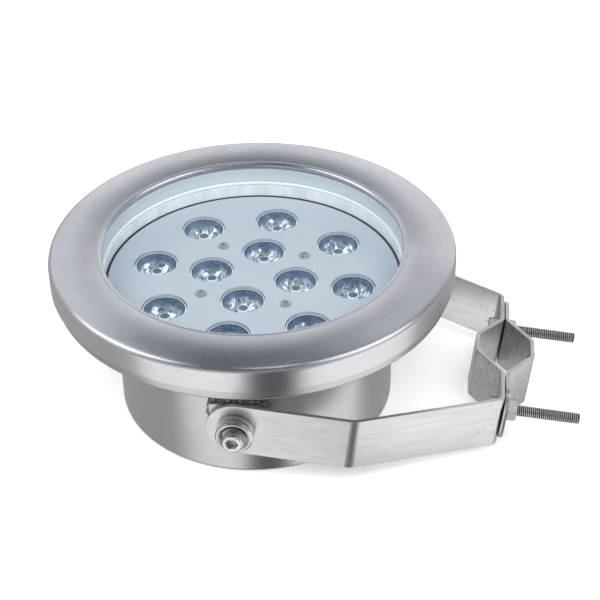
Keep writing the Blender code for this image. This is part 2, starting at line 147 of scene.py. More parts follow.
def prism(outlines, low, high):
    """Straight bars standing along Z, one for each outline of (x, y) points."""
    bm = bmesh.new()
    for outline in outlines:
        face = bm.faces.new([bm.verts.new((x * MM, y * MM, low * MM)) for x, y in outline])
        grown = bmesh.ops.extrude_face_region(bm, geom=[face])
        tops = [item for item in grown["geom"] if isinstance(item, bmesh.types.BMVert)]
        bmesh.ops.translate(bm, verts=tops, vec=(0.0, 0.0, (high - low) * MM))
    return finish_mesh(bm)


def rods(places, radius, low, high, sides=FINE):
    return prism([circle(spot, radius, sides) for spot in places], low, high)


def towards(direction):
    """The rotation that takes a piece built along +Z to a direction."""
    return Vector((0, 0, 1)).rotation_difference(Vector(direction)).to_matrix().to_4x4()


def on_circle(radius, angle):
    return (radius * math.cos(angle), radius * math.sin(angle))


def rounded(profile, radius, steps=3):
    """The same closed profile with each corner that is off the axis rounded."""
    result = []
    count = len(profile)
    for i, point in enumerate(profile):
        here = Vector(point)
        before = Vector(profile[i - 1]) - here
        after = Vector(profile[(i + 1) % count]) - here
        if here.x <= 0.0 or min(before.length, after.length) < 1e-6:
            result.append(point)
            continue
        reach = min(radius, before.length / 2.5, after.length / 2.5)
        a = here + before.normalized() * reach
        b = here + after.normalized() * reach
        for step in range(steps + 1):
            t = step / steps
            bent = a.lerp(here, t).lerp(here.lerp(b, t), t)
            result.append((bent.x, bent.y))
    return result


# --- Pieces ---

def placed(name, data):
    """A new object in the scene."""
    made = bpy.data.objects.new(name, data)
    bpy.context.scene.collection.objects.link(made)
    return made


def build(name, bm, look, at=(0, 0, 0), turn=None):
    """An object from its mesh, in the row frame, smooth with sharp edges kept."""
    mesh = bpy.data.meshes.new(name)
    bm.to_mesh(mesh)
    bm.free()
    smooth(mesh)
    if look is not None:
        mesh.materials.append(look)
    made = placed(name, mesh)
    made.matrix_world = Matrix.Translation(Vector(at) * MM) @ (turn or Matrix())
    return made


def smooth(mesh):
    """Smooth shading that keeps sharp edges, and keeps large many-sided faces flat."""
    mesh.shade_smooth()
    mesh.set_sharp_from_angle(angle=SHARP)
    for face in mesh.polygons:
        if len(face.vertices) > 6:
            face.use_smooth = False


def cut(piece, bm, turn=None, operation="DIFFERENCE"):
    """Cuts a piece's mesh with another, given in the piece's own axes, or joins or trims it."""
    tool = build("tool", bm, None, turn=piece.matrix_world @ (turn or Matrix()))
    step = piece.modifiers.new("cut", "BOOLEAN")
    step.operation = operation
    step.solver = "EXACT"
    step.object = tool
    settle(piece)
    bpy.data.objects.remove(tool)


def soften(piece, width, segments=2):
    """Rounds the piece's sharp edges."""
    step = piece.modifiers.new("soften", "BEVEL")
    step.width = width * MM
    step.segments = segments
    step.limit_method = "ANGLE"
    step.angle_limit = SHARP
    settle(piece)


def settle(piece):
    """Turns a piece's modifiers into plain mesh."""
    bpy.context.view_layer.update()
    graph = bpy.context.evaluated_depsgraph_get()
    mesh = bpy.data.meshes.new_from_object(piece.evaluated_get(graph))
    piece.modifiers.clear()
    piece.data = mesh
    smooth(mesh)


def wear(piece, body, slot, *nodes):
    """Puts a finished piece on its body and hides the CAD nodes that it stands for. The slot is not
    used.
    """
    if nodes:
        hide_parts(*nodes)
    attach(piece, body)
    return piece


def lamp_piece(name, bm, look, slot, *nodes, at=(0, 0, 0), turn=None):
    return wear(build(name, bm, look, at, turn), "lamp", slot, *nodes)


# --- Shader nodes ---

class Nodes:
    """Short ways to add shader nodes. An input given a socket is linked, any other value is set."""

    def __init__(self, name=None, world=None):
        owner = world or bpy.data.materials.new(name)
        owner.use_nodes = True
        self.material = owner
        self.tree = owner.node_tree
        self.tree.nodes.clear()
        self.output = self.add("OutputWorld" if world else "OutputMaterial")
        self.place = self.add("TexCoord").outputs["Generated" if world else "Object"]

    def put(self, socket, value):
        """Gives an input its source or its value; a colour needs no alpha."""
        if isinstance(value, bpy.types.NodeSocket):
            self.tree.links.new(value, socket)
        elif socket.type == "RGBA":
            socket.default_value = (*value, 1.0)
        else:
            socket.default_value = value

    def add(self, kind, inputs=None, **settings):
        made = self.tree.nodes.new("ShaderNode" + kind)
        for key, value in settings.items():
            setattr(made, key, value)
        for key, value in (inputs or {}).items():
            self.put(made.inputs[key], value)
        return made

    def math(self, operation, a, b=0.0):
        return self.add("Math", {0: a, 1: b}, operation=operation).outputs[0]

    def weighted(self, a, share_a, b, share_b):
        return self.math("ADD", self.math("MULTIPLY", a, share_a), self.math("MULTIPLY", b, share_b))

    def vector(self, operation, a, b=(0.0, 0.0, 0.0)):
        return self.add("VectorMath", {0: a, 1: b}, operation=operation).outputs[0]

    def scaled(self, a, factor):
        return self.add("VectorMath", {0: a, "Scale": factor}, operation="SCALE").outputs[0]

    def axis(self, letter):
        return self.add("SeparateXYZ", {0: self.place}).outputs[letter]

    def stretched(self, *factors):
        return self.vector("MULTIPLY", self.place, factors)

    def radius(self):
        """Distance from the piece's Z axis."""
        flat = self.stretched(1.0, 1.0, 0.0)
        return self.add("VectorMath", {0: flat}, operation="LENGTH").outputs["Value"]

    def noise(self, where, scale, detail, roughness, w=None):
        inputs = {"Vector": where, "Scale": scale, "Detail": detail, "Roughness": roughness}
        if w is not None:
            inputs["W"] = w
        return self.add("TexNoise", inputs, noise_dimensions="3D" if w is None else "4D").outputs[0]

    def grain(self, size, detail=3.0, roughness=0.6, where=None):
        """Noise whose features are about size millimetres across."""
        return self.noise(where or self.place, 1.0 / (size * MM), detail, roughness)

    def spread(self, value, low, high, to_low=0.0, to_high=1.0):
        made = self.add("MapRange", {0: value, 1: low, 2: high, 3: to_low, 4: to_high},
                        interpolation_type="SMOOTHSTEP")
        return made.outputs[0]

    def between(self, value, low, high):
        """Noise stretched over a range, such as a roughness."""
        return self.spread(value, 0.3, 0.7, low, high)

    def step(self, value, start, end):
        """From 0 to 1 as a place in metres passes from one millimetre mark to another."""
        return self.spread(value, start * MM, end * MM)

    def blend(self, factor, a, b):
        return self.add("Mix", {"Factor": factor, 6: a, 7: b}, data_type="RGBA").outputs[2]

    def surface(self, colour, roughness, metallic=0.0, height=None, depth=0.02, swell=None, **others):
        """A Principled material. Colour, roughness, metallic and height may come from nodes.

        depth is the height's bump in millimetres, and swell a second, slow height in tenths of a
        millimetre. others are further inputs of the shader by name."""
        inputs = {"Base Color": colour, "Roughness": roughness, "Metallic": metallic}
        inputs.update((key.replace("_", " "), value) for key, value in others.items())
        shader = self.add("BsdfPrincipled", inputs)
        if height is not None:
            bump = self.add("Bump", {"Height": height, "Strength": 1.0, "Distance": depth * MM})
            if swell is not None:
                slow = self.add("Bump", {"Height": swell, "Strength": 1.0, "Distance": 0.1 * MM})
                self.put(bump.inputs["Normal"], slow.outputs[0])
            self.put(shader.inputs["Normal"], bump.outputs[0])
        return self.finish(shader)

    def finish(self, shader):
        self.put(self.output.inputs["Surface"], shader.outputs[0])
        return self.material


def shade(colour, factor):
    return tuple(min(1.0, c * factor) for c in colour)


def steel(name, colour, roughness, lay="round", anisotropy=0.0, grain=0.12, cloud=0.05, depth=0.012,
          dents=0.0, worn_from=None):
    """Brushed or satin stainless steel.

    lay says how the brushing lines run: "round" about the piece's Z, "along" a strip that stands
    on its edge, or "none" for a blasted finish. dents is how wavy the sheet is, in tenths of a
    millimetre. From worn_from along the piece's X, the pressing has left dark flecks and rubs."""
    n = Nodes(name)
    fine, coarse = 1.0 / (0.5 * MM), 1.0 / (1.6 * MM)
    if lay == "round":
        radius = n.radius()
        way = n.vector("NORMALIZE", n.stretched(1.0, 1.0, 0.0))
        up = n.axis("Z")
        layers = []
        for across, around in ((fine, 22.0), (coarse, 14.0)):
            lift = n.add("CombineXYZ", {"Z": n.math("MULTIPLY", radius, across)}).outputs[0]
            where = n.vector("ADD", n.scaled(way, around), lift)
            layers.append(n.noise(where, 1.0, 4.0, 0.65, n.math("MULTIPLY", up, across)))
    elif lay == "along":
        layers = [n.noise(n.stretched(*stretch), 1.0, 4.0, 0.65)
                  for stretch in ((90.0, 90.0, fine), (45.0, 45.0, coarse))]
    else:
        layers = [n.noise(n.place, scale, 2.0, 0.5) for scale in (fine, coarse)]
    lines = n.weighted(layers[0], 0.45, layers[1], 0.55)
    patches = n.noise(n.place, 30.0, 4.0, 0.6)
    tone = n.weighted(n.math("SUBTRACT", lines, 0.5), grain * 3.0,
                      n.math("SUBTRACT", patches, 0.5), cloud * 2.2)
    tint = n.blend(n.math("ADD", tone, 0.5), shade(colour, 0.5), shade(colour, 1.5))
    if worn_from is not None:
        flecks = n.grain(0.9, 4.0, 0.7, n.stretched(1.0, 1.0, 0.45))
        rubs = n.grain(9.0)
        worn = n.math("MULTIPLY", n.spread(flecks, 0.50, 0.66), n.spread(rubs, 0.42, 0.60, 0.0, 0.8))
        reached = n.step(n.axis("X"), worn_from, worn_from + 6.0)
        tint = n.blend(n.math("MULTIPLY", worn, reached), tint, shade(colour, 0.45))
    rough = n.math("ADD", n.math("MULTIPLY", tone, -0.5), roughness)
    swell = n.math("MULTIPLY", n.noise(n.place, 24.0, 2.0, 0.5), dents) if dents else None
    brushed = {"Anisotropic": anisotropy, "Anisotropic Rotation": 0.25}
    if anisotropy:
        brushed["Tangent"] = n.add("Tangent", direction_type="RADIAL", axis="Z").outputs[0]
    return n.surface(tint, rough, 1.0, lines, depth, swell, **brushed)


def zinc(name):
    """Bright zinc plating: fine crystals and a faint bluish passivation."""
    n = Nodes(name)
    specks = n.grain(0.6)
    haze = n.grain(5.0, 2.0, 0.5)
    tint = n.blend(specks, (0.58, 0.61, 0.64), (0.76, 0.79, 0.82))
    tint = n.blend(n.spread(haze, 0.4, 0.7, 0.0, 0.4), tint, (0.74, 0.77, 0.80))
    return n.surface(tint, n.between(specks, 0.28, 0.38), 0.9, specks, 0.003)


def plated(name, colour, roughness, metallic=1.0):
    n = Nodes(name)
    haze = n.grain(3.0, 4.0)
    tint = n.blend(haze, shade(colour, 0.88), shade(colour, 1.1))
    return n.surface(tint, n.between(haze, roughness - 0.05, roughness + 0.06), metallic, haze, 0.006)


def soft_solid(name, colour, roughness, speck=0.5, variation=0.08, depth=0.02):
    """Rubber, silicone or moulded plastic: faint mottling and a fine skin texture."""
    n = Nodes(name)
    skin = n.grain(speck)
    haze = n.grain(12.0, 2.0, 0.5)
    tint = n.blend(n.weighted(skin, 0.4, haze, 0.6), shade(colour, 1.0 - variation),
                   shade(colour, 1.0 + variation))
    return n.surface(tint, n.between(skin, roughness - 0.06, roughness + 0.06), 0.0, skin, depth)


def window_glass(name):
    """Clear glass that mirrors more at a glance, and doesn't bend what is behind it."""
    n = Nodes(name)
    facing = n.add("LayerWeight", {"Blend": 0.5}).outputs["Facing"]
    front = n.math("SUBTRACT", 1.0, n.add("NewGeometry").outputs["Backfacing"])
    grazing = n.math("MULTIPLY", n.math("POWER", facing, 5.0), 0.95)
    share = n.math("MULTIPLY", n.math("ADD", grazing, 0.045), front)
    through = n.add("BsdfTransparent", {"Color": (0.965, 0.985, 0.99)}).outputs[0]
    polish = n.between(n.grain(18.0, 4.0), 0.015, 0.05)
    mirror = n.add("BsdfGlossy", {"Color": (1.0, 1.0, 1.0), "Roughness": polish}).outputs[0]
    return n.finish(n.add("MixShader", {0: share, 1: through, 2: mirror}))


def ground_edge(name):
    """The frosted border of the glass, with a painted glow: a faint emission stands in for the light
    that the thick sheet carries to it.
    """
    n = Nodes(name)
    frost = n.grain(0.8)
    tint = n.blend(frost, (0.57, 0.615, 0.66), (0.655, 0.70, 0.745))
    # painted glow: the emission below makes the border shine though it is no lamp
    return n.surface(tint, n.between(frost, 0.35, 0.5), 0.0, frost, 0.01, IOR=1.5,
                     Emission_Color=(0.50, 0.64, 0.78), Emission_Strength=0.06)


def mirror_coat(name):
    """The collimator's coating: silver in its depth, a painted reflection of dark blue sky near its
    rim, and a pale seating edge.
    """
    n = Nodes(name)
    haze = n.grain(1.6)
    flecks = n.grain(1.8, 2.0, 0.5)
    silver = n.blend(haze, (0.70, 0.76, 0.84), (0.96, 0.98, 1.0))
    silver = n.blend(n.spread(flecks, 0.55, 0.62), silver, (0.16, 0.20, 0.27))
    # painted reflection: blue in the upper wall stands for the dark ceiling that it mirrors
    rim_painted_reflection = n.blend(haze, (0.12, 0.19, 0.34), (0.30, 0.42, 0.62))
    level = n.math("ADD", n.axis("Z"), n.math("MULTIPLY", flecks, 2.0 * MM))
    tint = n.blend(n.step(level, LENS_TOP - 3.4, LENS_TOP - 1.6), silver, rim_painted_reflection)
    seat = n.step(n.radius(), LENS_R - 0.56, LENS_R - 0.5)
    tint = n.blend(seat, tint, (0.93, 0.95, 0.97))
    metal = n.math("MULTIPLY", n.math("SUBTRACT", 1.0, seat), 0.75)
    return n.surface(tint, n.spread(haze, 0.35, 0.7, 0.06, 0.16), metal, haze, 0.01)


def well_gloss(name):
    """The well in the middle of a lens: painted shade, near black, for the dark core that the lens
    shows, with a painted highlight on its rim.
    """
    n = Nodes(name)
    haze = n.grain(0.9)
    # painted shade: a near-black colour for the dark core over the LED
    tint = n.blend(haze, (0.03, 0.04, 0.07), (0.10, 0.13, 0.19))
    # painted highlight: a pale ring at the well's rim
    tint = n.blend(n.step(n.radius(), WELL_R - 0.62, WELL_R - 0.5), tint, (0.80, 0.84, 0.88))
    return n.surface(tint, n.spread(haze, 0.35, 0.7, 0.2, 0.32), 0.0, haze, 0.01,
                     Specular_IOR_Level=0.3)


def painted_glow_seat(name):
    """The white gasket under the glass, with a painted glow: a faint emission stands in for the light
    that the thick glass carries to it.
    """
    n = Nodes(name)
    skin = n.grain(0.6)
    tint = n.blend(skin, (0.78, 0.80, 0.82), (0.85, 0.865, 0.875))
    # painted glow: the emission below keeps the gasket bright though it is no lamp
    return n.surface(tint, n.between(skin, 0.5, 0.6), 0.0, skin, 0.02,
                     Emission_Color=(0.90, 0.95, 1.0), Emission_Strength=0.05)


def thread_steel(name):
    """Rolled thread with painted light: bright crests as a painted highlight, dark roots as painted
    shade.
    """
    n = Nodes(name)
    # painted light: by radius, the crests get a bright painted highlight and the roots a near-black
    # painted shade
    crest = n.step(n.radius(), BOLT_R - 0.5, BOLT_R - 0.08)
    grime = n.grain(2.2)
    painted_root_shade = n.blend(grime, (0.08, 0.072, 0.07), (0.17, 0.155, 0.15))
    top = n.blend(grime, (0.78, 0.75, 0.73), (0.95, 0.93, 0.91))
    return n.surface(n.blend(crest, painted_root_shade, top), n.between(grime, 0.28, 0.42), 1.0)


def liner_metal(name):
    """Thin drawn metal round the well, with upright die marks, and painted shade, near black, in the
    groove at its foot.
    """
    n = Nodes(name)
    upright = n.stretched(1.0, 1.0, 0.04)
    marks = n.grain(0.7, 3.0, 0.65, upright)
    bands = n.grain(9.0, 2.0, 0.5, upright)
    mixed = n.weighted(marks, 0.6, bands, 0.4)
    tint = n.blend(n.spread(mixed, 0.3, 0.7), (0.74, 0.75, 0.77), (0.95, 0.955, 0.96))
    # painted shade: below the plate's top the liner turns near black, as the groove lies in shade
    groove_painted_shade = n.step(n.axis("Z"), LENS_TOP + 0.9, LENS_TOP + 1.3)
    tint = n.blend(groove_painted_shade, (0.03, 0.03, 0.035), tint)
    return n.surface(tint, n.between(marks, 0.30, 0.45), 0.12, marks, 0.02)


def plate_paint(name):
    """Pale blue-grey satin plate with a very fine grain, and painted shade that makes it a little
    darker towards its edge.
    """
    n = Nodes(name)
    fine = n.grain(0.5)
    haze = n.grain(30.0, 3.0, 0.5)
    tint = n.blend(n.weighted(fine, 0.35, haze, 0.65), (0.43, 0.45, 0.485), (0.52, 0.54, 0.578))
    # painted shade: darker and bluer from 46 mm out to the edge, where the bezel shades the plate
    outer = n.vector("MULTIPLY", tint, (0.88, 0.91, 0.945))
    tint = n.blend(n.step(n.radius(), 46.0, 72.0), tint, outer)
    return n.surface(tint, n.between(fine, 0.34, 0.44), 0.3, fine, 0.01)


BOLT_R = 3.0
LENS_TOP = high_of("lens_01").z
LENS_R = (high_of("lens_01").x - low_of("lens_01").x) / 2
WELL_R = 2.9                  # the dark well in the middle of a lens

BEZEL_STEEL = steel("brushed bezel steel", (0.635, 0.648, 0.672), 0.28, "round", 0.7, 0.11, 0.06,
                    0.005, 2.8)
HOUSING_STEEL = steel("satin housing steel", (0.545, 0.548, 0.56), 0.30, "round", 0.4, 0.10, 0.08,
                      0.01, 3.0)
FASTENER_STEEL = steel("turned fastener steel", (0.66, 0.65, 0.64), 0.22, "round", 0.2, 0.06, 0.05)
STRIP_STEEL = steel("brushed strip steel", (0.75, 0.738, 0.73), 0.33, "along", 0.6, 0.18, 0.10,
                    0.02, 2.0, 108.0)
BOLT_STEEL = thread_steel("rolled thread steel")
WELD_STEEL = steel("weld bead steel", (0.28, 0.27, 0.27), 0.38, "none", 0.0, 0.3, 0.3, 0.05)
ZINC = zinc("zinc plating")
GLASS = window_glass("clear window glass")
GLASS_EDGE = ground_edge("ground glass edge with painted glow")
SILICONE = soft_solid("white silicone", (0.80, 0.82, 0.84), 0.55)
PLATE = plate_paint("satin plate finish")
LINER = liner_metal("drawn liner metal")
MIRROR = mirror_coat("metallised lens wall")
WELL = well_gloss("lens well")
PAINTED_GLOW_SEAT = painted_glow_seat("white gasket with painted glow")
BOARD = soft_solid("white solder mask", (0.80, 0.81, 0.80), 0.35, 0.8, 0.05)
CERAMIC = soft_solid("white ceramic", (0.75, 0.76, 0.76), 0.4, 0.2, 0.06, 0.005)
PHOSPHOR = soft_solid("pale phosphor", (0.78, 0.72, 0.38), 0.3, 0.15, 0.1, 0.005)
ALUMINIUM = steel("spun aluminium", (0.77, 0.78, 0.80), 0.38, "round", 0.3, 0.12, 0.04)
BRASS = steel("turned brass", (0.72, 0.55, 0.27), 0.28, "round", 0.2, 0.08, 0.05)
PLASTIC = soft_solid("matt black plastic", (0.03, 0.03, 0.032), 0.5, 0.6, 0.3, 0.03)
SCREW_PLATING = plated("screw plating", (0.46, 0.47, 0.49), 0.30, 0.7)
NICKEL = plated("satin nickel plating", (0.70, 0.68, 0.64), 0.24)
RUBBER = soft_solid("black rubber", (0.02, 0.02, 0.021), 0.65, 0.4, 0.3, 0.02)

# --- Measures taken from the frame ---

BEZEL_R = high_of("bezel_ring").x
BEZEL_TOP = high_of("bezel_ring").z
SKIRT_Z = low_of("bezel_ring").z
CROWN = 1.5                   # how much the bezel rises towards the window
EDGE_Z = BEZEL_TOP - CROWN
WINDOW_R = 0.5 - low_of("cover_plate").x
CREST_R = 84.8                # radius where the bezel stands highest
LIP_R = 1.9                   # roll of the bezel's inner edge
LIP_DROP = 0.55               # how much lower the crown is where that roll starts
CORNER_R = 3.0                # outer corner between the skirt and the crown
PLATE_TOP = high_of("cover_plate").z
CAN_R = high_of("housing_can").x
CAN_TOP = high_of("housing_can").z
TRAY_R = high_of("housing_tray").x
PIVOT = Vector(joint("yoke_tilt")["pos_m"]) / MM
CLAMP_WAY = Vector(joint("clamp_open")["axis"])
YOKE_TURN = Matrix.Rotation(math.atan2(-CLAMP_WAY.z, CLAMP_WAY.x), 4, "Y")
SIDES = (("near", -1), ("far", 1))
BEZEL_SCREWS = [middle_of(f"bezel_screw_{i + 1}") for i in range(6)]
LENSES = [middle_of(f"lens_{i + 1:02d}") for i in range(12)]
PLATE_SCREWS = [middle_of(f"plate_screw_{i + 1}") for i in range(4)]
GLAND_MIDDLE = middle_of("gland_nut")
GLAND_Z = GLAND_MIDDLE.z
GLAND_WAY = Vector((GLAND_MIDDLE.x, GLAND_MIDDLE.y, 0)).normalized()


# --- Lamp shell ---

def build_bezel():
    """The pressed front ring: a shallow dome across its width, rolled in at both edges."""
    corner = (BEZEL_R - CORNER_R, EDGE_Z - CORNER_R)
    lip = (WINDOW_R + LIP_R, BEZEL_TOP - LIP_DROP - LIP_R)
    outer = [(BEZEL_R - 0.3, SKIRT_Z), (BEZEL_R, SKIRT_Z + 0.3)]
    outer += arc(corner, CORNER_R, 0, 74, 8)
    steps = 10
    start = outer[-1]
    for i in range(1, steps + 1):
        t = i / steps
        radius = start[0] + (CREST_R - start[0]) * t
        outer.append((radius, BEZEL_TOP - (BEZEL_TOP - start[1]) * (1 - t) ** 2))
    roll = arc(lip, LIP_R, 78, 176, 12)
    for i in range(1, steps):
        t = i / steps
        radius = CREST_R + (roll[0][0] - CREST_R) * t
        outer.append((radius, BEZEL_TOP - (BEZEL_TOP - roll[0][1]) * t ** 2))
    outer += roll
    outer.append((WINDOW_R + 0.25, lip[1]))
    inner = [(WINDOW_R + SHEET - 0.25, lip[1])]
    inner += arc(lip, LIP_R - SHEET, 174, 90, 8)
    inner += [(CREST_R, BEZEL_TOP - SHEET)]
    inner += arc(corner, CORNER_R - SHEET, 90, 0, 3)
    inner += [(BEZEL_R - SHEET, SKIRT_Z)]
    lamp_piece("bezel", turned(outer + inner, ROUND), BEZEL_STEEL, "bezel_steel", "bezel_ring")


def bead(route, radius, closed, seed, lump, sides=10):
    """A weld bead along a list of points: a round run with ripples and small lumps."""
    rng = random.Random(seed)
    offset = Vector((rng.random(), rng.random(), rng.random())) * 50
    bm = bmesh.new()
    rings = []
    count = len(route)
    for i, point in enumerate(route):
        here = Vector(point)
        if closed:
            way = Vector(route[(i + 1) % count]) - Vector(route[i - 1])
        else:
            way = Vector(route[min(i + 1, count - 1)]) - Vector(route[max(i - 1, 0)])
        way.normalize()
        side = way.orthogonal().normalized()
        up = way.cross(side)
        ripple = 1.0 + 0.10 * math.sin(i * 1.9)
        ring = []
        for k in range(sides):
            angle = 2 * math.pi * k / sides
            spot = here + (side * math.cos(angle) + up * math.sin(angle)) * radius
            swell = ripple + lump * noise.noise(spot * 0.55 + offset) * 2.0
            spot = here + (spot - here) * swell
            ring.append(bm.verts.new(spot * MM))
        rings.append(ring)
    bridge(bm, rings, closed)
    if not closed:
        bm.faces.new(rings[0])
        bm.faces.new(rings[-1])
    return finish_mesh(bm)


def weld_ring(name, radius, height, bead_radius, seed):
    count = round(2 * math.pi * radius / 0.9)
    route = [(*on_circle(radius, 2 * math.pi * i / count), height) for i in range(count)]
    lamp_piece(name, bead(route, bead_radius, True, seed, 0.12), WELD_STEEL, "housing_steel")


def build_can():
    fillet = 2.0
    profile = [(0.0, 0.0)]
    profile += arc((CAN_R - fillet, fillet), fillet, -90, 0, 8)
    profile += [(CAN_R, CAN_TOP - 0.2), (CAN_R - 0.2, CAN_TOP), (CAN_R - SHEET, CAN_TOP)]
    profile += arc((CAN_R - fillet, fillet), fillet - SHEET, 0, -90, 3)
    profile += [(0.0, SHEET)]
    can = build("can", turned(profile, ROUND), HOUSING_STEEL)
    cut(can, rods([(0, 0)], 8.4, 55.0, 80.0),
        Matrix.Translation((0, 0, GLAND_Z * MM)) @ towards(GLAND_WAY))
    wear(can, "lamp", "housing_steel", "housing_can")
    weld_ring("shoulder_weld", CAN_R + 0.15, CAN_TOP + 0.15, 0.8, 3)


def build_tray_and_flange():
    low, top = heights("housing_tray")
    bore = CAN_R - SHEET
    profile = [(bore, low)]
    profile += arc((TRAY_R - 2.0, low + 2.0), 2.0, -90, 0, 6)
    profile += [(TRAY_R, top - 0.2), (TRAY_R - 0.2, top), (TRAY_R - SHEET, top)]
    profile += [(TRAY_R - SHEET, low + SHEET), (bore, low + SHEET)]
    lamp_piece("tray", turned(profile, ROUND), HOUSING_STEEL, "housing_steel", "housing_tray")

    outer = high_of("housing_flange").x
    rim_z = low_of("housing_flange").z
    plate_z = low_of("clamp_ring").z - 6.7
    rim = 2.5
    profile = [(TRAY_R + 0.3, plate_z), (outer - rim - 0.8, plate_z), (outer - rim, plate_z - 0.8)]
    profile += [(outer - rim, rim_z + 0.4)]
    profile += arc((outer - 1.25, rim_z + 1.25), 1.25, 200, 360, 10)
    profile += [(outer, top - 0.3), (outer - 0.3, top), (TRAY_R + 0.3, top)]
    flange = build("flange", turned(profile, ROUND), HOUSING_STEEL)
    holes = rods([(screw.x, screw.y) for screw in BEZEL_SCREWS], 2.8, plate_z - 2, top + 2, 32)
    cut(flange, holes)
    wear(flange, "lamp", "housing_steel", "housing_flange")
    weld_ring("flange_weld", TRAY_R + 0.3, plate_z - 0.1, 1.0, 5)


def build_bezel_screws():
    """Pan heads with a hexagon socket, seen from below the flange."""
    for i, spot in enumerate(BEZEL_SCREWS):
        node = f"bezel_screw_{i + 1}"
        low, high = heights(node)
        head = low + 3.0
        profile = [(0, low), (2.6, low)]
        profile += arc((2.6, low + 1.9), 1.9, -90, 0, 6)
        profile += [(4.5, head - 0.2), (4.3, head), (2.5, head)]
        profile += [(2.5, high - 0.4), (2.1, high), (0, high)]
        screw = build(node.replace("screw", "screw_fine"), turned(profile, 48), FASTENER_STEEL,
                      (spot.x, spot.y, 0))
        cut(screw, prism([hexagon(3.0)], low - 1.0, low + 1.8))
        wear(screw, "lamp", "fastener_steel", node)


def build_window():
    low, high = heights("front_glass")
    radius = high_of("front_glass").x
    edge = 0.5
    clear = WINDOW_R + 0.35
    disc = [(0, low), (clear, low), (clear, high), (0, high)]
    lamp_piece("window", turned(disc, ROUND), GLASS, "toughened_glass", "front_glass")
    border = [(clear + 0.05, low), (radius - edge, low), (radius, low + edge)]
    border += [(radius, high - edge), (radius - edge, high), (clear + 0.05, high)]
    lamp_piece("window_border", turned(border, ROUND), GLASS_EDGE, "toughened_glass")
    # the lower gasket wears the white silicone with a painted glow
    for node, showing, look in (("gasket_lower", 0.2, PAINTED_GLOW_SEAT), ("gasket_upper", 3.8, SILICONE)):
        low, high = heights(node)
        ring = rounded(rectangle(WINDOW_R + showing, high_of(node).x, low, high), 0.6)
        lamp_piece(node + "_soft", turned(ring, ROUND), look, "white_silicone", node)
    low, high = heights("spacer_ring")
    outer = high_of("spacer_ring").x
    groove = WINDOW_R + 1.5
    ring = [(WINDOW_R, low), (outer, low), (outer, high), (WINDOW_R, high)]
    ring += [(WINDOW_R, PLATE_TOP + 0.15), (groove, PLATE_TOP)]
    ring += [(groove, PLATE_TOP - 1.6), (WINDOW_R, PLATE_TOP - 1.8)]
    lamp_piece("well_liner", turned(ring, ROUND), LINER, "liner", "spacer_ring")


# --- Optics ---

LENS_DROP = 1.3               # a lens's top below the plate's
WELL_DROP = 3.3               # the well's crest below the lens's top
BOWL_DROP = 7.6               # the bowl's foot below the lens's top
BOWL_LIP = 0.9                # where the bowl starts below the lens's top
FACETS = 24


def build_cover_plate():
    low = low_of("cover_plate").z
    radius = WINDOW_R - 1.05
    disc = [(0, low), (radius, low), (radius, PLATE_TOP - 0.25), (radius - 0.25, PLATE_TOP)]
    disc.append((0, PLATE_TOP))
    plate = build("lens_plate", turned(disc, ROUND), PLATE)
    holes = [circle((spot.x, spot.y), LENS_R + 0.3) for spot in LENSES]
    holes += [circle((spot.x, spot.y), 1.8, 32) for spot in PLATE_SCREWS]
    cut(plate, prism(holes, low - 2, PLATE_TOP + 2))
    soften(plate, 0.4)
    for face in plate.data.polygons:
        face.use_smooth = abs(face.normal.z) < 0.999
    wear(plate, "lamp", "cover_plate", "cover_plate")


def bowl_radius(drop):
    """The collimator's inner wall, a parabola: radius at a depth below the lens's top."""
    share = 1.0 - (drop - BOWL_LIP) / (BOWL_DROP - BOWL_LIP)
    return WELL_R + 0.2 + (LENS_R - 0.6 - WELL_R - 0.2) * share ** 0.55


def collimator_mesh():
    """The metallised wall: smooth outside, and inside a bowl of staggered mirror facets."""
    rng = random.Random(21)
    top = PLATE_TOP - LENS_DROP
    low = low_of("lens_01").z
    bm = bmesh.new()
    skin = [(WELL_R + 0.2, low), (5.6, low), (LENS_R - 0.4, top - 1.6), (LENS_R, top - 1.2)]
    skin += [(LENS_R, top - 0.2), (LENS_R - 0.2, top), (LENS_R - 0.6, top), (LENS_R - 0.6, top - 0.9)]
    rows = [(radius, z, 0.0, 0.0) for radius, z in skin]
    for k, drop in enumerate((2.0, 3.3, 4.7, 6.1, BOWL_DROP), start=1):
        rows.append((bowl_radius(drop), top - drop, 0.5 * (k % 2), 0.12 * k))
    rings = []
    for radius, z, stagger, jitter in rows:
        ring = []
        for i in range(FACETS):
            angle = 2 * math.pi * (i + stagger) / FACETS
            ring.append(vertex(bm, radius + jitter * (rng.random() - 0.5) * 2, angle, z))
        rings.append(ring)
    for k, (a, b) in enumerate(zip(rings, rings[1:] + rings[:1])):
        lean = rows[(k + 1) % len(rows)][2] - rows[k][2]
        for i in range(FACETS):
            j = (i + 1) % FACETS
            if lean == 0.0:
                bm.faces.new([a[i], a[j], b[j], b[i]])
            elif lean > 0.0:
                bm.faces.new([a[i], a[j], b[i]])
                bm.faces.new([a[j], b[j], b[i]])
            else:
                bm.faces.new([a[i], b[j], b[i]])
                bm.faces.new([a[i], a[j], b[j]])
    return finish_mesh(bm)


def collimator_object():
    made = build("collimator_01", collimator_mesh(), MIRROR)
    made.data.set_sharp_from_angle(angle=math.radians(2.0))
    return made


def repeat(first, label, nodes=()):
    """A lens piece built at the origin is put in the first lens, and copies of it in the others."""
    for i, spot in enumerate(LENSES):
        piece = placed(f"{label}_{i + 1:02d}", first.data) if i else first
        turn = Matrix.Rotation(i * 0.7, 4, "Z")
        piece.matrix_world = Matrix.Translation(Vector((spot.x, spot.y, 0)) * MM) @ turn
        wear(piece, "lamp", "lens_acrylic", *nodes[i:i + 1])


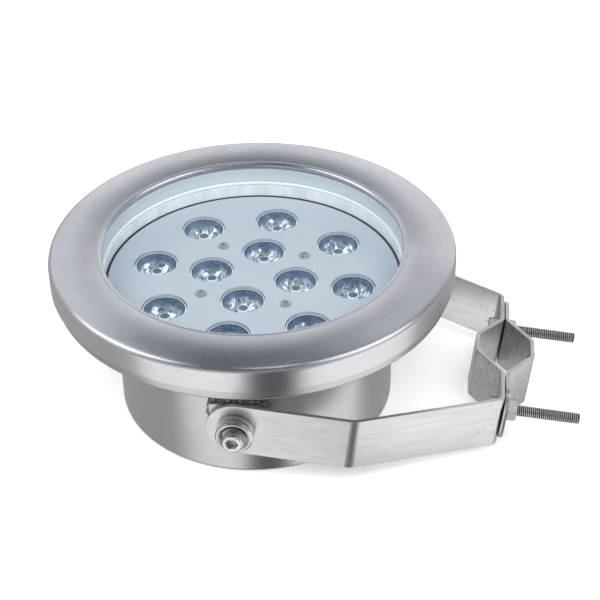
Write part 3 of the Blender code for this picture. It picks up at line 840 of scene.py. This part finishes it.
def build_lenses():
    """Each lens: mirror bowl, clear rimmed front, and the domed well over the LED, painted dark as
    shade.
    """
    top = PLATE_TOP - LENS_DROP
    low = low_of("lens_01").z
    repeat(collimator_object(), "collimator", [f"lens_{i + 1:02d}" for i in range(12)])
    front = LENS_R - 0.65
    disc = [(0, top - 0.75), (front, top - 0.75), (front, top - 0.1), (front - 0.2, top + 0.02)]
    disc += [(front - 0.8, top + 0.02), (front - 1.0, top - 0.1), (0, top - 0.1)]
    repeat(build("lens_front_01", turned(disc, 96), GLASS), "lens_front")
    crest = top - WELL_DROP
    well = [(0, low + 2.4), (2.6, low + 2.4), (2.6, low), (WELL_R, low), (WELL_R, crest - 1.0)]
    well += [(WELL_R - 0.15, crest - 0.7), (WELL_R - 0.5, crest - 0.55), (WELL_R - 0.7, crest - 0.75)]
    well += [(1.6, crest - 0.25), (0.8, crest - 0.06), (0, crest)]
    repeat(build("lens_well_01", turned(well, 48), WELL), "lens_well")


def build_board():
    """The white board with an LED under every lens: ceramic base and phosphor."""
    low = low_of("led_board").z
    top = low + 1.6
    radius = high_of("led_board").x
    ring = rounded(rectangle(4.0, radius, low, top), 0.15)
    lamp_piece("board", turned(ring, ROUND), BOARD, "circuit_board", "led_board")
    base, chip = rounded_rectangle(1.75, 1.75, 0.2, 3), rounded_rectangle(0.8, 0.8, 0.1, 2)
    for i, spot in enumerate(LENSES):
        at = (spot.x, spot.y, 0)
        lamp_piece(f"led_base_{i + 1:02d}", prism([base], top, top + 1.0), CERAMIC,
                   "circuit_board", at=at)
        lamp_piece(f"led_chip_{i + 1:02d}", prism([chip], top + 1.0, top + 1.15), PHOSPHOR,
                   "circuit_board", at=at)


def build_plate_screws():
    """Low countersunk-looking heads with a cross recess."""
    for i, spot in enumerate(PLATE_SCREWS):
        node = f"plate_screw_{i + 1}"
        low, high = heights(node)
        head = PLATE_TOP + 0.05
        profile = [(0, low), (1.5, low), (1.5, head), (2.8, head), (2.9, head + 0.15)]
        profile += [(2.6, high - 0.25), (1.8, high - 0.03), (0, high)]
        screw = build(f"plate_screw_fine_{i + 1}", turned(profile, 48), SCREW_PLATING,
                      (spot.x, spot.y, 0), Matrix.Rotation(0.6 + 0.9 * i, 4, "Z"))
        for x, y in ((1.5, 0.35), (0.35, 1.5)):
            cut(screw, prism([rectangle(-x, x, -y, y)], high - 0.7, high + 1))
        wear(screw, "lamp", "fastener_steel", node)


# --- Pivots ---

def build_pivot(name, side):
    """Bush, dished washer and cap screw of one pivot."""
    turn = towards((0, side, 0))

    def reach(node):
        low, high = low_of(node).y, high_of(node).y
        return (low, high) if side > 0 else (-high, -low)

    def fit(label, node, profile, rounding):
        return lamp_piece(f"pivot_{label}_{name}", turned(rounded(profile, rounding), 96),
                          FASTENER_STEEL, "fastener_steel", node, at=PIVOT, turn=turn)

    node = f"pivot_bush_{name}"
    inner, face = reach(node)
    radius = high_of(node).x
    arm = high_of("yoke_bracket").y + 0.3
    bush = [(3.3, inner), (5.0, inner), (5.0, arm), (radius, arm), (radius, face), (3.3, face)]
    fit("collar", node, bush, 0.35)

    node = f"pivot_washer_{name}"
    low, high = reach(node)
    washer = [(3.3, low), (radius - 0.7, low), (radius - 0.1, low + 0.5), (radius - 0.1, high - 0.9)]
    washer += [(radius - 0.9, high), (radius - 1.7, high), (5.9, high - 1.7), (5.4, high - 2.2)]
    washer += [(3.3, high - 2.2)]
    fit("cup", node, washer, 0.25)

    node = f"pivot_screw_{name}"
    low, high = reach(node)
    head = high - 6.0
    screw = [(0, low), (3.0, low), (3.0, head), (5.0, head), (5.0, high - 0.5), (4.5, high), (0, high)]
    piece = fit("cap_screw", node, screw, 0.2)
    cut(piece, prism([hexagon(5.0)], high - 3.2, high + 2.0))
    soften(piece, 0.12)


def weld_route(side):
    """Round the plate where it meets the can: up one edge, along the top and down the other."""
    half = high_of("pivot_boss_near").x
    bottom, top = heights("pivot_boss_near")
    corners = [(-half, bottom), (-half, top), (half, top), (half, bottom)]
    route = []
    for (x0, z0), (x1, z1) in zip(corners, corners[1:]):
        steps = round(math.hypot(x1 - x0, z1 - z0) / 0.8)
        for i in range(steps):
            x = x0 + (x1 - x0) * i / steps
            z = z0 + (z1 - z0) * i / steps
            route.append((x, side * (math.sqrt(CAN_R ** 2 - x * x) + 0.5), z))
    return route


def build_plate_welds():
    for name, side in SIDES:
        seam = bead(weld_route(side), 1.5, False, 11 + side, 0.5)
        lamp_piece(f"pivot_weld_{name}", seam, WELD_STEEL, "housing_steel")


# --- Cable gland ---

def build_gland():
    turn = towards(GLAND_WAY)
    at = (0, 0, GLAND_Z)
    wrench = CAN_R + 0.6
    inside = CAN_R - 9.5
    end = wrench + 15.0
    body = build("gland_hexagon", prism([hexagon(19.0)], wrench, wrench + 5.0), NICKEL, at, turn)
    cone = [(0, wrench - 1), (10.2, wrench - 0.4), (11.2, wrench + 0.7)]
    cone += [(11.2, wrench + 4.3), (10.2, wrench + 5.4), (0, wrench + 6)]
    cut(body, turned(cone, 96), operation="INTERSECT")
    thread = turned(screw_profile(7.9, 0.45, 1.5, inside, wrench + 1.0), FINE)
    cut(body, thread, operation="UNION")
    cut(body, rods([(0, 0)], 7.2, wrench + 4.0, end), operation="UNION")
    cut(body, rods([(0, 0)], 4.8, inside - 5.0, end + 5.0))
    wear(body, "lamp", "nickel_plating", "gland_body")

    low = wrench + 5.6
    tip = end + 7.0
    bore, grip = 7.5, 9.8
    nut = [(bore, low), (9.2, low), (grip, low + 0.8), (grip, low + 10.0)]
    nut += arc((5.2, low + 10.0), 4.6, 0, 64, 10)
    nut += [(6.4, tip), (5.1, tip), (4.6, tip - 0.5), (4.6, end + 3.6), (bore, end + 3.6)]

    def flutes(radius, z, angle):
        fluted = radius > grip - 0.3 and low + 1.5 < z < low + 10.5
        return radius - (0.45 * max(0.0, math.cos(angle * 16)) if fluted else 0.0)

    detailed = []
    for a, b in zip(nut, nut[1:] + nut[:1]):
        detailed.append(a)
        if abs(a[0] - grip) < 1e-6 and abs(b[0] - grip) < 1e-6:
            detailed += [(grip, a[1] + (b[1] - a[1]) * t) for t in (0.1, 0.16, 0.84, 0.9)]
    lamp_piece("gland_dome_nut", turned(detailed, ROUND, flutes), NICKEL, "nickel_plating", "gland_nut",
               at=at, turn=turn)
    seal = rounded(rectangle(4.5, bore - 0.3, end + 0.3, end + 3.3), 0.4)
    lamp_piece("gland_seal_soft", turned(seal), RUBBER, "black_rubber", "gland_seal", at=at, turn=turn)


def screw_profile(radius, depth, pitch, low, high):
    """Plain grooves that stand for a thread on a turned piece, closed on the axis."""
    profile = [(0, low), (radius - depth, low)]
    count = int((high - low) / pitch)
    for i in range(count):
        z = low + i * pitch
        profile += [(radius - depth, z + 0.15 * pitch), (radius, z + 0.42 * pitch)]
        profile += [(radius, z + 0.58 * pitch), (radius - depth, z + 0.85 * pitch)]
    return profile + [(radius - depth, high), (0, high)]


# --- Yoke and pipe clamp, in the yoke's own axes: u away from the pivot, y along it, v up ---

STRIP = 2.0                   # thickness of the strip
STRIP_HALF = 14.4             # half of its height
ARM_BEND_U = 56.0             # where an arm starts to run inwards
SPLIT_U = 126.0               # plane where the two clamp halves meet
JAW_DEPTH = 12.5
JAW_FLAT_Y = 6.25             # half of the jaw's flat bottom
JAW_MOUTH_Y = 21.4            # half of its mouth
JAW_BENDS = [2.5, 3.5, 3.5, 2.5]
FLANGE_END_Y = 43.5
CLAMP_CORNER_R = 9.0
CLAMP_GAP = 0.5
BOLT_Y = 32.8
BOLT_HOLE_R = 3.4
THREAD_PITCH = 1.0
HEX_ACROSS = 10.0             # across the flats of an M6 head or nut
HEAD_HEIGHT = 4.0
NUT_HEIGHT = 5.0
BOLT_TIP_U = SPLIT_U + 39.0
BOLT_FIT = 0.3                # gap between the strip and a head or nut
BEND_STEP_DEG = 5.0


def offset_left(points, distance):
    """A polyline moved sideways to its left, with mitred corners."""
    moved = []
    for i, point in enumerate(points):
        here = Vector(point)
        ways = []
        if i > 0:
            ways.append((here - Vector(points[i - 1])).normalized())
        if i < len(points) - 1:
            ways.append((Vector(points[i + 1]) - here).normalized())
        normals = [Vector((-way.y, way.x)) for way in ways]
        middle = sum(normals, Vector((0, 0))).normalized()
        moved.append(tuple(here + middle * (distance / middle.dot(normals[0]))))
    return moved


def strip_outline(points, radii, thickness):
    """The outline of a bent strip: points are its centre line's corners, radii its bends."""
    left, right = [], []

    def both(spot, normal):
        left.append(tuple(spot + normal * thickness / 2))
        right.append(tuple(spot - normal * thickness / 2))

    first = (Vector(points[1]) - Vector(points[0])).normalized()
    last = (Vector(points[-1]) - Vector(points[-2])).normalized()
    both(Vector(points[0]), Vector((-first.y, first.x)))
    for i, radius in enumerate(radii, start=1):
        here = Vector(points[i])
        before = (here - Vector(points[i - 1])).normalized()
        after = (Vector(points[i + 1]) - here).normalized()
        turn = -before.angle_signed(after)
        sign = math.copysign(1.0, turn)
        start = here - before * (radius * math.tan(abs(turn) / 2))
        centre = start + Vector((-before.y, before.x)) * (sign * radius)
        steps = max(2, round(math.degrees(abs(turn)) / BEND_STEP_DEG))
        for step in range(steps + 1):
            spoke = Matrix.Rotation(turn * step / steps, 2) @ (start - centre)
            both(centre + spoke, spoke.normalized() * -sign)
    both(Vector(points[-1]), Vector((-last.y, last.x)))
    return right + left[::-1]


ALONG_U = towards((1, 0, 0))
ALONG_Y = Matrix.Rotation(math.radians(90), 4, "X")


def drill_for_bolts(piece, high):
    holes = rods([(0, BOLT_Y), (0, -BOLT_Y)], BOLT_HOLE_R, SPLIT_U - 6, high, 48)
    cut(piece, holes, ALONG_U)


def build_yoke():
    arm = high_of("yoke_bracket").y
    half = [(-STRIP_HALF, -arm), (ARM_BEND_U, -arm), (SPLIT_U, -FLANGE_END_Y),
            (SPLIT_U, -JAW_MOUTH_Y), (SPLIT_U - JAW_DEPTH, -JAW_FLAT_Y)]
    face = half + [(u, -y) for u, y in reversed(half)]
    radii = [12.0, 3.5, *JAW_BENDS, 3.5, 12.0]
    outline = strip_outline(offset_left(face, STRIP / 2), radii, STRIP)
    yoke = build("yoke", prism([outline], -STRIP_HALF, STRIP_HALF), STRIP_STEEL, PIVOT, YOKE_TURN)
    side = arc((0, 0), STRIP_HALF, 90, 270, 40) + [(SPLIT_U + 20, -STRIP_HALF - 1)]
    side += [(SPLIT_U + 20, STRIP_HALF + 1)]
    cut(yoke, prism([side], -arm - 5, arm + 5), ALONG_Y, operation="INTERSECT")
    cut(yoke, rods([(0, 0)], 5.3, -arm - 5, arm + 5), ALONG_Y)
    drill_for_bolts(yoke, SPLIT_U + 4)
    soften(yoke, 0.28, 3)
    wear(yoke, "yoke", "strip_steel", "yoke_bracket")


def build_clamp_half():
    start = SPLIT_U + CLAMP_GAP
    half = [(start, -FLANGE_END_Y), (start, -JAW_MOUTH_Y), (start + JAW_DEPTH, -JAW_FLAT_Y)]
    face = half + [(u, -y) for u, y in reversed(half)]
    outline = strip_outline(offset_left(face, -STRIP / 2), JAW_BENDS, STRIP)
    bent = prism([outline], -STRIP_HALF, STRIP_HALF)
    piece = build("clamp_jaw", bent, STRIP_STEEL, PIVOT, YOKE_TURN)
    plate = rounded_rectangle(STRIP_HALF, FLANGE_END_Y, CLAMP_CORNER_R)
    cut(piece, prism([plate], SPLIT_U - 5, SPLIT_U + 30), ALONG_U, operation="INTERSECT")
    drill_for_bolts(piece, SPLIT_U + 8)
    soften(piece, 0.28, 3)
    wear(piece, "clamp_half", "strip_steel", "clamp_half")


def hex_block(low, high, both_ends):
    """A hexagon along Z, and the cone that chamfers its lower end or both."""
    corner = HEX_ACROSS / math.sqrt(3.0)
    flat = HEX_ACROSS / 2 - 0.2
    drop = (corner - flat) * math.tan(math.radians(30))
    wide = corner + 0.1
    cone = [(0, low), (flat, low), (wide, low + drop)]
    if both_ends:
        cone += [(wide, high - drop), (flat, high), (0, high)]
    else:
        cone += [(wide, high + 1), (0, high + 1)]
    return prism([hexagon(HEX_ACROSS)], low, high), turned(cone, 96)


def threaded_rod(low, high, sides=32, per_pitch=8):
    """A rod with a true helical thread, its end chamfered."""
    bm = bmesh.new()
    rings = []
    count = round((high - low) / THREAD_PITCH * per_pitch)
    depth = 0.55
    for k in range(count + 1):
        z = low + (high - low) * k / count
        ring = []
        for i in range(sides):
            angle = 2 * math.pi * i / sides
            phase = (z / THREAD_PITCH - i / sides) % 1.0
            groove = min(1.0, max(0.0, 1.35 - abs(phase - 0.5) * 3.2))
            limit = BOLT_R - max(0.0, 0.9 - (high - z)) * 0.9
            ring.append(vertex(bm, min(BOLT_R - depth * groove, limit), angle, z))
        rings.append(ring)
    bridge(bm, rings, closed=False)
    bm.faces.new(rings[0])
    bm.faces.new(rings[-1])
    return finish_mesh(bm)


def build_clamp_bolts():
    """Each bolt is a chamfered head and a threaded shank; its nut rides on a body of its own."""
    under_head = SPLIT_U - STRIP - BOLT_FIT
    low = SPLIT_U + CLAMP_GAP + STRIP + BOLT_FIT
    for name, side in SIDES:
        turn = YOKE_TURN @ ALONG_U
        at = PIVOT + YOKE_TURN.to_3x3() @ Vector((0, side * BOLT_Y, 0))
        block, cone = hex_block(under_head - HEAD_HEIGHT, under_head, both_ends=False)
        head = build(f"bolt_head_{name}", block, ZINC, at, turn)
        cut(head, cone, operation="INTERSECT")
        soften(head, 0.12)
        wear(head, "yoke", "bolt_steel", f"clamp_bolt_{name}")
        thread = threaded_rod(under_head - 0.5, BOLT_TIP_U)
        shank = build(f"bolt_thread_{name}", thread, BOLT_STEEL, at, turn)
        wear(shank, "yoke", "bolt_steel")

        block, cone = hex_block(low, low + NUT_HEIGHT, both_ends=True)
        nut = build(f"nut_{name}", block, ZINC, at, turn)
        cut(nut, cone, operation="INTERSECT")
        bore = [(0, low - 1), (3.9, low - 0.2), (3.1, low + 0.6)]
        bore += [(3.1, low + 4.4), (3.9, low + 5.2), (0, low + 6)]
        cut(nut, turned(bore))
        soften(nut, 0.1)
        wear(nut, f"nut_{name}", "zinc_plating", f"clamp_nut_{name}")


# --- The object ---

build_bezel()
build_can()
build_tray_and_flange()
build_bezel_screws()
build_window()
build_cover_plate()
build_lenses()
build_board()
build_plate_screws()
for pivot_name, pivot_side in SIDES:
    build_pivot(pivot_name, pivot_side)
build_plate_welds()
build_gland()
build_yoke()
build_clamp_half()
build_clamp_bolts()

# CAD nodes whose shape is right keep it and get a finished material
CARRIED = {
    "clamp_ring": FASTENER_STEEL,
    "heat_spreader": ALUMINIUM,
    "driver_module": PLASTIC,
    "driver_lead": SILICONE,
    "gland_locknut": NICKEL,
    "pivot_boss_near": HOUSING_STEEL,
    "pivot_boss_far": HOUSING_STEEL,
    **{f"standoff_{i + 1}": BRASS for i in range(4)},
}
for node_name, look in CARRIED.items():
    materials = frame["nodes"][node_name].data.materials
    materials.clear()
    materials.append(look)


# --- Stage, light and camera ---

FLOOR_REACH = 3.0             # metres from the middle to an edge
FLOOR_DROP = 0.2              # gap under the can, so that the two faces don't flicker
FLOOR_GLOW = 0.25             # keeps the floor's far edge as white as the backdrop

# The world's colours. Only the camera sees the backdrop; the rest is what the metal mirrors.
BACKDROP = (1.0, 1.0, 1.0)
GROUND = (0.47, 0.465, 0.465)
HORIZON = (0.50, 0.50, 0.52)
CEILING = (0.10, 0.115, 0.145)
GROUND_TO_HORIZON = (-0.12, 0.06)       # heights, as the sine of the elevation
HORIZON_TO_CEILING = (0.38, 0.78)
PANEL_CORE = 0.75             # share of a panel's half width that has its full brightness
# azimuth, elevation and half width in degrees, and brightness, of each soft panel
PANELS = [
    (77, 11, 30, (0.90, 0.90, 0.93)),
    (99, 15, 20, (1.02, 1.03, 1.06)),
    (72, 46, 14, (0.68, 0.69, 0.73)),
    (127, 32, 19, (0.85, 0.86, 0.90)),
    (10, 86, 9, (1.6, 1.62, 1.68)),
    (178, 50, 24, (2.0, 2.05, 2.13)),
    (-4, 50, 24, (1.8, 1.84, 1.9)),
    (-112, -28, 36, (1.26, 1.245, 1.235)),
    (-24, -28, 37, (1.28, 1.262, 1.25)),
    (-74, 2, 15, (0.10, 0.10, 0.105)),
    (-74, -26, 17, (0.10, 0.10, 0.105)),
    (-74, -52, 16, (0.10, 0.10, 0.105)),
]

LAMP_AT = (0.1, -0.75, 1.55)  # metres
LAMP_SIZE = 2.2
LAMP_POWER = 48.0

CAMERA_RISE = 33.95           # degrees up from the horizon
CAMERA_SWING = 8.6            # degrees round towards the clamp
CAMERA_DISTANCE = 751.0
CAMERA_AIM = Vector((0, 0, SKIRT_Z + 11.1))
CAMERA_YAW = -1.71            # degrees, then as seen by the camera
CAMERA_PITCH = -2.09
CAMERA_ROLL = 2.02
CAMERA_LENS = 91.56


def build_floor():
    n = Nodes("pale floor")
    speck = n.noise(n.place, 40.0, 4.0, 0.6)
    tint = n.blend(speck, (0.90, 0.90, 0.905), (0.94, 0.94, 0.94))
    look = n.surface(tint, n.between(speck, 0.55, 0.7), 0.0, speck, 0.02,
                     Emission_Color=(1.0, 1.0, 1.0), Emission_Strength=FLOOR_GLOW)
    bm = bmesh.new()
    corners = [(x * FLOOR_REACH, y * FLOOR_REACH, 0) for x, y in ((-1, -1), (1, -1), (1, 1), (-1, 1))]
    bm.faces.new([bm.verts.new(corner) for corner in corners])
    floor = build("floor", bm, look, (0, 0, -FLOOR_DROP))
    floor.visible_glossy = False


def light_studio():
    """A pale ground and horizon under a dimmer, bluish ceiling, with a few large soft panels."""
    world = bpy.data.worlds.new("studio")
    bpy.context.scene.world = world
    n = Nodes(world=world)
    height = n.axis("Z")
    colour = n.blend(n.spread(height, *GROUND_TO_HORIZON), GROUND, HORIZON)
    colour = n.blend(n.spread(height, *HORIZON_TO_CEILING), colour, CEILING)
    for azimuth, elevation, width, panel in PANELS:
        a, e = math.radians(azimuth), math.radians(elevation)
        centre = (math.cos(e) * math.cos(a), math.cos(e) * math.sin(a), math.sin(e))
        near = n.add("VectorMath", {0: n.place, 1: centre}, operation="DOT_PRODUCT").outputs["Value"]
        edge, core = math.cos(math.radians(width)), math.cos(math.radians(width * PANEL_CORE))
        colour = n.blend(n.spread(near, edge, core), colour, panel)
    colour = n.blend(n.add("LightPath").outputs["Is Camera Ray"], colour, BACKDROP)
    n.finish(n.add("Background", {"Color": colour, "Strength": 1.0}))


def add_lamp():
    """A large soft disk above the near side, which shiny metal doesn't mirror."""
    light = bpy.data.lights.new("overhead fill", "AREA")
    light.shape = "DISK"
    light.size = LAMP_SIZE
    light.energy = LAMP_POWER
    lamp = placed("overhead fill", light)
    lamp.location = LAMP_AT
    lamp.rotation_euler = (-Vector(LAMP_AT)).to_track_quat("-Z", "Y").to_euler()
    lamp.visible_glossy = False
    lamp.visible_camera = False


def add_camera():
    """The photograph's view."""
    rise, swing = math.radians(CAMERA_RISE), math.radians(CAMERA_SWING)
    back = Vector((math.cos(rise) * math.sin(swing), -math.cos(rise) * math.cos(swing), math.sin(rise)))
    forward = -back
    right = forward.cross(Vector((0, 0, 1))).normalized()
    up = right.cross(forward)
    yaw = Matrix.Rotation(math.radians(CAMERA_YAW), 3, up)
    forward, right = yaw @ forward, yaw @ right
    pitch = Matrix.Rotation(math.radians(CAMERA_PITCH), 3, right)
    forward, up = pitch @ forward, pitch @ up
    roll = Matrix.Rotation(math.radians(CAMERA_ROLL), 3, forward)
    right, up = roll @ right, roll @ up
    data = bpy.data.cameras.new("camera")
    data.sensor_width = 36.0
    data.lens = CAMERA_LENS
    data.clip_start = 0.01
    camera = placed("camera", data)
    turn = Matrix((right, up, -forward)).transposed().to_4x4()
    camera.matrix_world = Matrix.Translation((CAMERA_AIM + back * CAMERA_DISTANCE) * MM) @ turn
    bpy.context.scene.camera = camera


build_floor()
light_studio()
add_lamp()
add_camera()
bpy.context.scene.view_settings.view_transform = "Standard"
